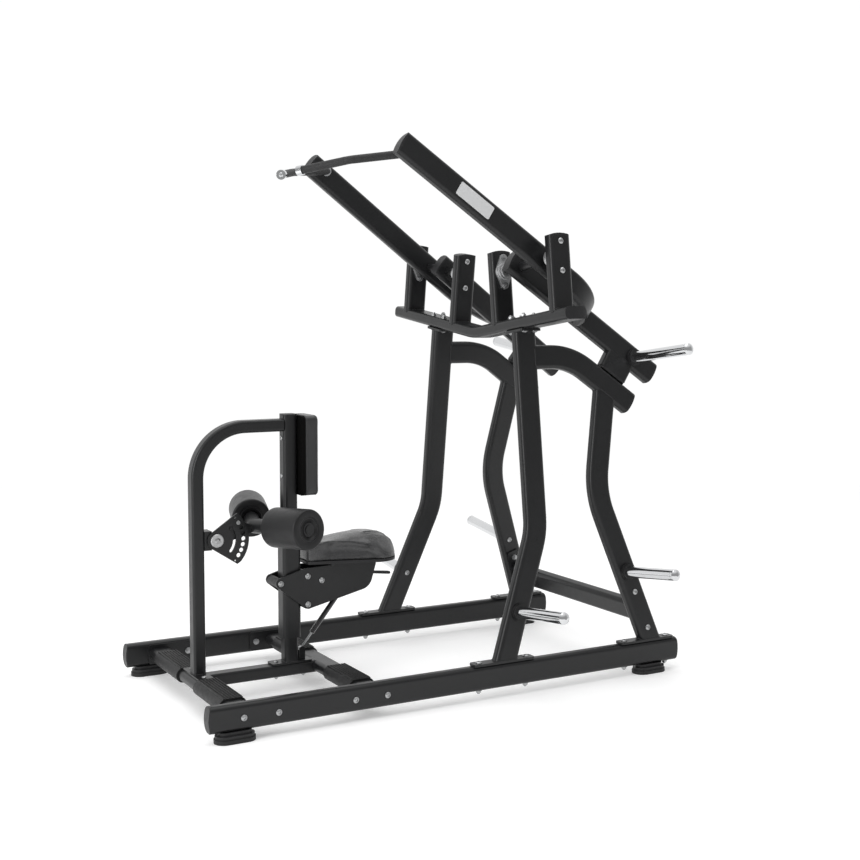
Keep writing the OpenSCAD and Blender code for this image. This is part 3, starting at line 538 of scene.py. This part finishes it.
def inflate(ob, voxel, cap, material, hold, smooth):
    """Fills a closed form as stuffing would: remesh, cloth under pressure with no gravity, movement
    capped, then smooth rounds of relaxing. Points that hold says rest on something don't move."""
    remesh = ob.modifiers.new("remesh", "REMESH")
    remesh.mode, remesh.voxel_size = "VOXEL", voxel
    remesh.use_smooth_shade = True
    swap_mesh(ob, frozen_mesh(ob), material)
    rest = [v.co.copy() for v in ob.data.vertices]
    cloth = ob.modifiers.new("cloth", "CLOTH")
    s = cloth.settings
    s.quality, s.mass = 5, 0.3
    s.tension_stiffness = s.compression_stiffness = 15.0
    s.shear_stiffness, s.bending_stiffness = 5.0, 2.0
    s.use_pressure, s.uniform_pressure_force = True, CLOTH_PRESSURE
    s.effector_weights.gravity = 0.0
    cloth.point_cache.frame_start, cloth.point_cache.frame_end = 1, CLOTH_FRAMES
    scene = bpy.context.scene
    for f in range(1, CLOTH_FRAMES + 1):
        scene.frame_set(f)
        bpy.context.view_layer.update()
    swap_mesh(ob, frozen_mesh(ob), material)
    scene.frame_set(1)
    points = []
    for v, was in zip(ob.data.vertices, rest):
        move = v.co - was
        if move.length > cap:
            move *= cap / move.length
        if hold(was):
            move = Vector()
        points.append(was + move)
    links = [[] for _ in points]
    for e in ob.data.edges:
        a, b = e.vertices
        links[a].append(b)
        links[b].append(a)
    for v, p in zip(ob.data.vertices, relax(points, links, smooth)):
        v.co = p


def subdivide_once(ob, material):
    sub = ob.modifiers.new("subdivision", "SUBSURF")
    sub.levels = sub.render_levels = 1
    swap_mesh(ob, frozen_mesh(ob), material)


def seat_half_width(x):
    """Half width of the seat cushion at x, from its two nose and two rear circles."""
    nose_x, nose_y, nose_r, rear_x, rear_y, rear_r = 625.0, 35.0, 25.0, 902.0, 40.0, 100.0
    if x <= nose_x:
        return nose_y + math.sqrt(max(0.0, nose_r ** 2 - (x - nose_x) ** 2)) if x > nose_x - nose_r else 0.0
    if x >= rear_x:
        return rear_y + math.sqrt(max(0.0, rear_r ** 2 - (x - rear_x) ** 2)) if x < rear_x + rear_r else 0.0
    t = (x - nose_x) / (rear_x - nose_x)
    return nose_y + nose_r + (rear_y + rear_r - nose_y - nose_r) * t ** 1.25


# (x, z) along the seat: its middle line, and the crease between its top and its sides
SEAT_TOP = ((598, 588), (612, 598), (640, 603), (704, 610), (750, 619), (805, 629), (851, 634), (889, 634),
            (925, 628), (955, 619), (980, 606), (1003, 588))
SEAT_EDGE = ((598, 588), (620, 600), (650, 610), (700, 613), (770, 610), (852, 594), (889, 575), (915, 557),
             (940, 549), (1003, 546))
SEAT_BOTTOM, SEAT_MID_X, SEAT_POINTS = 532.6, 800.0, 96  # underside, middle, and points round the outline
PINCH, DENT = 15.0, 0.009  # hollow of the side panels, in mm before the filling and in m after it
SEAM_IN, SEAM_DOWN = 0.0022, 0.0008  # how far the crease is pinched inwards and down, in metres
DART_DEPTH, DART_LIP = 0.0065, 0.0022  # depth of the darts, and how far the cover rises beside them
PLEATS = (((862, 44), (955, 16)), ((955, 16), (990, 62)))  # (x, y) ends of the darts, on both sides


def along_table(table, x):
    """The second value at x, with the steps between the table's rows eased a little."""
    if x <= table[0][0]:
        return table[0][1]
    for (x1, y1), (x2, y2) in zip(table, table[1:]):
        if x <= x2:
            t = (x - x1) / (x2 - x1)
            t = t * t * (3 - 2 * t) * 0.35 + t * 0.65
            return y1 + (y2 - y1) * t
    return table[-1][1]


def seat_outline(inset):
    """Plan of the seat cushion, moved inwards by inset."""
    pts, half = [], SEAT_POINTS // 2
    xs = [600.0 + 402.0 * (1 - math.cos(math.pi * k / half)) / 2 for k in range(half + 1)]
    upper = [(x, seat_half_width(x)) for x in xs]
    loop = [(x, -w) for x, w in upper] + [(x, w) for x, w in reversed(upper[1:-1])]
    for i, (x, y) in enumerate(loop):
        (xa, ya), (xb, yb) = loop[i - 1], loop[(i + 1) % len(loop)]
        nx, ny = yb - ya, -(xb - xa)
        size = math.hypot(nx, ny) or 1.0
        pts.append((x - inset * nx / size, y - inset * ny / size))
    return pts


def smooth_step(a, b, x):
    """0 below a, 1 above b, and an eased step between."""
    t = min(1.0, max(0.0, (x - a) / (b - a)))
    return t * t * (3 - 2 * t)


def seat_edge_height(x):
    """Height of the crease between top and sides: it runs down to the bottom seam at the rear corners."""
    return along_table(SEAT_EDGE, x)


def seat_surface(x, y, w):
    """Height of the seat's top at a point, between its middle and its seam."""
    share = min(1.0, abs(y) / max(w, 1.0))
    middle, edge = along_table(SEAT_TOP, x), seat_edge_height(x)
    return middle + (edge - middle) * share ** 2.4


def segment_distance(x, y, p, q):
    """Distance from (x, y) to the line from p to q."""
    px, py, dx, dy = x - p[0], y - p[1], q[0] - p[0], q[1] - p[1]
    t = min(1.0, max(0.0, (px * dx + py * dy) / (dx * dx + dy * dy)))
    return math.hypot(px - t * dx, py - t * dy)


def on_surface(ob, points, directions, lift):
    """Points moved onto the object's surface along each direction, then lifted off it by lift."""
    mesh = ob.data
    tree = BVHTree.FromPolygons([v.co for v in mesh.vertices], [tuple(p.vertices) for p in mesh.polygons])
    out = []
    for p, d in zip(points, directions):
        hit = tree.ray_cast(p - d * 0.05, d)[0]
        out.append((hit if hit is not None else p) - d * lift)
    return out


def smooth_loop(points, times):
    """A closed line with each point at the mean of itself and its neighbours, times over."""
    for _ in range(times):
        points = [(points[i - 1] + p + points[(i + 1) % len(points)]) / 3 for i, p in enumerate(points)]
    return points


def trim(name, points, radius, body):
    """A round welt of vinyl along a closed line."""
    verts, faces = bead(points, radius, ripple=0.02, step=0.005)
    add_mesh(name, verts, faces, slot_materials["pad_vinyl"], body)


TREAD_TOP = 121.2
RIB_PITCH, RIB_W, RIB_H, RIB_SIDES = 12, 2.8, 3.2, 10


def tread_ribs():
    """Raised ribs moulded along the top of the four treads, with rounded backs and tapered ends."""
    verts, faces = [], []
    for side in (-1, 1):
        for x_mid, y_mid, half in ((148, side * 242, 139), (680, side * 268, 114)):
            for i in range(-3, 4):
                rib = []
                stations = ((-half, 0.25), (-half + 1.5, 0.8), (-half + 4, 1.0), (0, 1.0), (half - 4, 1.0),
                            (half - 1.5, 0.8), (half, 0.25))
                for y, size in stations:
                    for k in range(RIB_SIDES):
                        turn = 2 * math.pi * k / RIB_SIDES
                        rib.append(at(x_mid + i * RIB_PITCH + RIB_W * size * math.cos(turn), y_mid + y,
                                      TREAD_TOP + RIB_H * size * math.sin(turn)))
                append_mesh(verts, faces, rib, rings_to_faces(len(stations), RIB_SIDES))
    add_mesh("tread_ribs", verts, faces, slot_materials["black_rubber"], "frame")


STITCH_PITCH, STITCH_LENGTH, THREAD_R = 0.0068, 0.0044, 0.00055


def stitches(name, points, body):
    """A row of thread stitches along a closed line."""
    loop = points + [points[0]]
    verts, faces, carried = [], [], 0.0
    for a, b in zip(loop, loop[1:]):
        size = (b - a).length
        if size < 1e-6:
            continue
        way = (b - a) / size
        while carried < size:
            start = a + way * carried
            v, f = bead([start, start + way * STITCH_LENGTH * 0.5, start + way * STITCH_LENGTH], THREAD_R,
                        step=STITCH_LENGTH, sides=6, closed=False)
            append_mesh(verts, faces, v, f)
            carried += STITCH_PITCH
        carried -= size
    add_mesh(name, verts, faces, thread_material, body)


def hollow(x):
    """How strongly the side panel is hollowed at x: most beside the thighs, none at the rear corners."""
    return smooth_step(610, 715, x) * (1 - smooth_step(840, 915, x))


def build_seat():
    """Seat cushion: a long nose and a broad rear, hollow side panels, and a crease under the top's edge."""
    rings = []
    side_panel = ((16, 0.0), (2, 0.0), (0.5, 0.12), (0.5, 0.38), (0.5, 0.66), (0.5, 0.88), (1.0, 1.0))
    for inset, share in side_panel:
        ring = []
        for x, y in seat_outline(inset + 2):
            top = seat_edge_height(x)
            pinch = PINCH * math.sin(math.pi * min(1.0, share * 1.04)) ** 0.8 * hollow(x)
            y -= math.copysign(min(pinch, abs(y)), y) if abs(y) > 30 else 0
            ring.append(at(x, y, SEAT_BOTTOM + (top - SEAT_BOTTOM) * share))
        rings.append(ring)
    outline = seat_outline(4)
    for scale in (0.93, 0.82, 0.68, 0.52, 0.35, 0.18):
        ring = []
        for x, y in outline:
            xs = SEAT_MID_X + (x - SEAT_MID_X) * (scale + 0.03)
            ys = y * scale
            ring.append(at(xs, ys, seat_surface(xs, ys, seat_half_width(min(max(xs, 604), 998)))))
        rings.append(ring)
    verts = [p for ring in rings for p in ring]
    ob = add_mesh("seat_cushion", verts, rings_to_faces(len(rings), SEAT_POINTS), seat_material)

    def resting(p):
        return p.z < (SEAT_BOTTOM + 3) / 1000

    inflate(ob, 0.005, 0.0025, seat_material, resting, 3)
    # hollow panels, pinched crease and darts, pressed in after the remesh
    for v in ob.data.vertices:
        x, y, z = v.co.x * 1000 + X0, v.co.y * 1000, v.co.z * 1000
        w = seat_half_width(min(max(x, 602), 1000))
        edge = seat_edge_height(x)
        share = (z - SEAT_BOTTOM) / max(edge - SEAT_BOTTOM, 1.0)
        if 0.0 < share < 1.0:
            dent = math.sin(math.pi * share) ** 0.5 * share * smooth_step(0.35, 0.6, abs(y) / w)
            v.co.y -= math.copysign(DENT * hollow(x) * dent, y)
        pinched = max(smooth_step(0.6, 0.8, abs(y) / w), smooth_step(980, 990, x))
        d = abs(z - edge + 3)
        v.co.y -= math.copysign(SEAM_IN * pinched * math.exp(-(d / 3.4) ** 2), y)
        v.co.z -= SEAM_DOWN * pinched * math.exp(-(d / 3.0) ** 2)
        for p, q in PLEATS:
            d = segment_distance(x, abs(y), p, q)
            if z > edge - 6:
                v.co.z -= DART_DEPTH * math.exp(-(d / 4.0) ** 2)
                v.co.z += DART_LIP * math.exp(-((d - 10.0) / 5.5) ** 2)
        if z > edge - 10:
            v.co.z += 0.0006 * noise.noise(Vector((x / 45, y / 45, 3.0)))
        v.co.z = max(v.co.z, SEAT_BOTTOM / 1000)
    subdivide_once(ob, seat_material)
    limit_to("seat_pad", ob, 0.004)
    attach(ob, "seat")
    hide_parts("seat_pad")
    centre = at(SEAT_MID_X, 0, 0)
    level = [at(x, y, SEAT_BOTTOM + 5.5) for x, y in seat_outline(0)]
    inward = [(Vector((centre.x + (p.x - centre.x) * 0.45, 0, p.z)) - p).normalized() for p in level]
    trim("seat_welt", smooth_loop(on_surface(ob, level, inward, 0.0), 2), 0.0014, "seat")


def limit_to(node, ob, spare):
    """Keeps a padded piece within its CAD solid's box and spare more, but never below it."""
    lo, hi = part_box(node)
    for v in ob.data.vertices:
        for k in range(3):
            v.co[k] = min(max(v.co[k], lo[k] - spare * (0.0 if k == 2 else 1.0)), hi[k] + spare)


def evenly(ring, count):
    """A closed line of points resampled to count even steps."""
    closed, total = ring + [ring[0]], [0.0]
    for p, q in zip(closed, closed[1:]):
        total.append(total[-1] + (q - p).length)
    out, k = [], 0
    for i in range(count):
        want = total[-1] * i / count
        while total[k + 1] < want:
            k += 1
        out.append(closed[k].lerp(closed[k + 1], (want - total[k]) / max(total[k + 1] - total[k], 1e-9)))
    return out


CHEST_REAR_SEAM, CHEST_FRONT_SEAM = 0.006, 0.009  # from the pad's rear and front faces, in metres
CHEST_WELT, CHEST_STITCH = 0.0085, 0.0135  # the front welt and the stitches, from the front face
CHEST_SEAM_DEPTH, CHEST_SEAM_W = 0.0016, 0.0026
CHEST_CORNER_R = 18


def build_chest():
    """Chest pad: boxed cushion, front face crowned, boxing strip between two seams."""
    lo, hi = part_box("chest_pad")
    cy, cz = (lo.y + hi.y) / 2, (lo.z + hi.z) / 2
    w, h, depth = (hi.y - lo.y) * 1000, (hi.z - lo.z) * 1000, (hi.x - lo.x) * 1000
    levels = ((14, 0.4), (1.0, 0.4), (0.2, 5.0), (0.6, depth * 0.5), (0.2, depth - 9), (1.8, depth - 2.8),
              (7.0, depth - 0.8), (24, depth - 0.3), (50, depth))  # inset and height of each ring
    rings = []
    for inset, x in levels:
        rings.append([Vector((lo.x + x / 1000, cy + a / 1000, cz + b / 1000))
                      for a, b in rounded_rect(w - 2 * inset, h - 2 * inset,
                                                max(4.0, CHEST_CORNER_R - inset * 0.6), 6)])
    size = min(len(r) for r in rings)
    even = [evenly(ring, size) for ring in rings]
    verts = [p for ring in even for p in ring]
    vinyl_material = slot_materials["pad_vinyl"]
    ob = add_mesh("chest_cushion", verts, rings_to_faces(len(even), size), vinyl_material)
    back = lo.x + 0.0016

    def resting(p):
        return p.x < back

    inflate(ob, 0.0045, 0.0010, vinyl_material, resting, 1)
    for v in ob.data.vertices:
        for seam in (lo.x + CHEST_REAR_SEAM, hi.x - CHEST_FRONT_SEAM):
            rim = max(abs(v.co.y - cy) * 1000 - (w / 2 - 7), abs(v.co.z - cz) * 1000 - (h / 2 - 7))
            if rim > 0:
                fall = CHEST_SEAM_DEPTH * math.exp(-((v.co.x - seam) / CHEST_SEAM_W) ** 2)
                v.co.y -= math.copysign(fall, v.co.y - cy) if abs(v.co.y - cy) * 1000 > w / 2 - 12 else 0
                v.co.z -= math.copysign(fall, v.co.z - cz) if abs(v.co.z - cz) * 1000 > h / 2 - 12 else 0
    subdivide_once(ob, vinyl_material)
    limit_to("chest_pad", ob, 0.003)
    for v in ob.data.vertices:
        v.co.x = max(v.co.x, lo.x)
    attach(ob, "frame")
    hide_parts("chest_pad")
    border = rounded_rect(w, h, CHEST_CORNER_R, 8)
    inward = [Vector((0, -a, -math.copysign(max(0.0, abs(b) - (h - w) / 2), b))).normalized()
              for a, b in border]
    rows = ((hi.x - CHEST_WELT, "welt"), (hi.x - CHEST_STITCH, "stitch"),
            (lo.x + CHEST_REAR_SEAM, "welt_rear"))
    for x, kind in rows:
        line = [Vector((x, cy + a / 1000, cz + b / 1000)) for a, b in border]
        line = smooth_loop(on_surface(ob, line, inward, 0.0003), 1)
        if kind == "stitch":
            stitches("chest_stitches", line, "frame")
        else:
            trim("chest_" + kind, line, 0.0016, "frame")


ROLLER_START = at(392, 0, 691)  # where the axes of the two rollers meet
ROLLER_TILT, ROLLER_TURN = math.radians(86.09), math.radians(72.98)  # the axle's slope and its turn about Z
FOAM_R, BORE_R, TUBE_BORE_R = 79.6, 48.6, 17.5  # radii: the foam, its recesses for the hubs, its bore
FOAM_FROM, FOAM_TO = 133.0, 338.0  # the foam's two ends, along the axle
HUB_FROM, HUB_TO = 139.0, 332.0  # the recesses' floors, 2 mm behind the hubs' outer faces
SHOULDER_R, SHOULDER_AT = 9.0, 9.6  # the foam's rounded shoulders, and where their centres lie from its ends
FOAM_CROWN, FOAM_UNEVEN = 0.4, 0.35


def build_roller(name, side):
    """Foam roller: slightly crowned, soft shoulders, ends dished down to the hub."""
    turn = Matrix.Rotation(side * ROLLER_TURN, 4, "Z") @ Matrix.Rotation(ROLLER_TILT, 4, "Y")

    def on_axle(r, a, z):
        return ROLLER_START + (turn @ Vector((r * math.cos(a), r * math.sin(a), z))) / 1000

    end = ((BORE_R, 3.5), (BORE_R + 1.2, 1.0), (BORE_R + 4, 0.2), (66, 0.4))  # radius, and depth from the end
    shoulder = [math.pi / 2 * k / 6 for k in range(7)]
    profile = [(BORE_R, HUB_FROM)] + [(r, FOAM_FROM + z) for r, z in end]
    profile += [(FOAM_R - SHOULDER_R + SHOULDER_R * math.sin(a),
                 FOAM_FROM + SHOULDER_AT - SHOULDER_R * math.cos(a)) for a in shoulder]
    for k in range(1, 14):
        t = k / 14
        profile.append((FOAM_R + FOAM_CROWN * math.sin(math.pi * t),
                        FOAM_FROM + SHOULDER_AT + (FOAM_TO - FOAM_FROM - 2 * SHOULDER_AT) * t))
    profile += [(FOAM_R - SHOULDER_R + SHOULDER_R * math.cos(a),
                 FOAM_TO - SHOULDER_AT + SHOULDER_R * math.sin(a)) for a in shoulder]
    profile += [(r, FOAM_TO - z) for r, z in reversed(end)] + [(BORE_R, HUB_TO)]
    around = 96
    verts, faces = [], []
    for k in range(around):
        a = 2 * math.pi * k / around
        for r, z in profile:
            soft = FOAM_UNEVEN * noise.noise(Vector((math.cos(a) * 2.2, math.sin(a) * 2.2, z / 60)))
            verts.append(on_axle(r + (soft if r > 60 else 0), a, z))
    n, base = len(profile), len(verts)
    for k in range(around):
        j = (k + 1) % around
        for i in range(n - 1):
            faces.append((k * n + i, j * n + i, j * n + i + 1, k * n + i + 1))
    for k in range(around):
        a = 2 * math.pi * k / around
        verts += [on_axle(TUBE_BORE_R, a, HUB_TO), on_axle(TUBE_BORE_R, a, HUB_FROM)]
    for k in range(around):
        j = (k + 1) % around
        faces.append((k * n + n - 1, j * n + n - 1, base + j * 2, base + k * 2))
        faces.append((base + k * 2, base + j * 2, base + j * 2 + 1, base + k * 2 + 1))
        faces.append((base + k * 2 + 1, base + j * 2 + 1, j * n, k * n))
    ob = add_mesh(name, verts, faces, slot_materials["roller_foam"], name.replace("foam_sleeve", "roller"))
    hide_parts("roller_foam_left" if side < 0 else "roller_foam_right")


build_seat()
tread_ribs()
build_chest()
build_roller("foam_sleeve_left", -1)
build_roller("foam_sleeve_right", 1)


# ---------- floor and light ----------
FLOOR_R, FLOOR_POINTS, FLOOR_DROP = 7.0, 128, 0.0004


def floor():
    """A wide pale disc just below the feet."""
    m = Shader("floor", (0.88, 0.88, 0.88), 0.85, specular=0.1,
               **{"Emission Color": (1.0, 1.0, 1.0, 1.0), "Emission Strength": 0.22})
    m.color(m.noise(0.6, 2.0), (0.87, 0.87, 0.87), (0.90, 0.90, 0.90))
    turns = [2 * math.pi * k / FLOOR_POINTS for k in range(FLOOR_POINTS)]
    verts = [(FLOOR_R * math.cos(a), FLOOR_R * math.sin(a), 0.0) for a in turns]
    mesh = bpy.data.meshes.new("floor")
    mesh.from_pydata(verts, [], [tuple(range(FLOOR_POINTS))])
    mesh.materials.append(m.material)
    ob = bpy.data.objects.new("floor", mesh)
    ob.location.z = -FLOOR_DROP
    bpy.context.scene.collection.objects.link(ob)


def lamp(name, place, target, size, power):
    """A soft area lamp that faces target."""
    data = bpy.data.lights.new(name, "AREA")
    data.shape, data.size, data.size_y, data.energy = "RECTANGLE", size[0], size[1], power
    ob = bpy.data.objects.new(name, data)
    ob.location = place
    ob.rotation_euler = (Vector(target) - Vector(place)).to_track_quat("-Z", "Y").to_euler()
    bpy.context.scene.collection.objects.link(ob)


SEEN_WHITE = 1.02  # strength of the surround as the camera sees it


def sky():
    """A white surround as the camera sees it. As light it is bright above and behind, and dim in front."""
    world = bpy.data.worlds.new("studio")
    bpy.context.scene.world = world
    world.use_nodes = True
    tree = world.node_tree

    way = add_node(tree, "TexCoord").outputs["Generated"]
    away = add_node(tree, "VectorMath", {0: way, 1: (0.35, 0.94, 0.0)},
                    operation="DOT_PRODUCT").outputs["Value"]
    behind = add_node(tree, "MapRange", {"Value": away, "From Min": -0.35, "From Max": 0.55,
                                         "To Min": 0.40, "To Max": 1.0}).outputs[0]
    height = add_node(tree, "SeparateXYZ", {0: way}).outputs["Z"]
    above = add_node(tree, "MapRange", {"Value": height, "From Min": 0.25, "From Max": 0.85,
                                        "To Min": 0.0, "To Max": 1.0}).outputs[0]
    light = add_node(tree, "Math", {0: behind, 1: above}, operation="MAXIMUM").outputs[0]
    eye = add_node(tree, "LightPath").outputs["Is Camera Ray"]
    seen = add_node(tree, "Mix", {"Factor": eye}, data_type="FLOAT")
    tree.links.new(light, seen.inputs[2])
    seen.inputs[3].default_value = SEEN_WHITE
    tree.links.new(seen.outputs[0], tree.nodes["Background"].inputs["Strength"])
    tree.nodes["Background"].inputs["Color"].default_value = (1.0, 1.0, 1.0, 1.0)


floor()
lamp("top", (-0.2, -0.2, 5.2), (0, 0, 0.8), (4.5, 4.5), 75)
lamp("left", (-5.0, -1.6, 2.2), (-0.2, 0, 0.9), (1.4, 3.4), 110)
sky()
bpy.context.scene.view_settings.view_transform = "Standard"
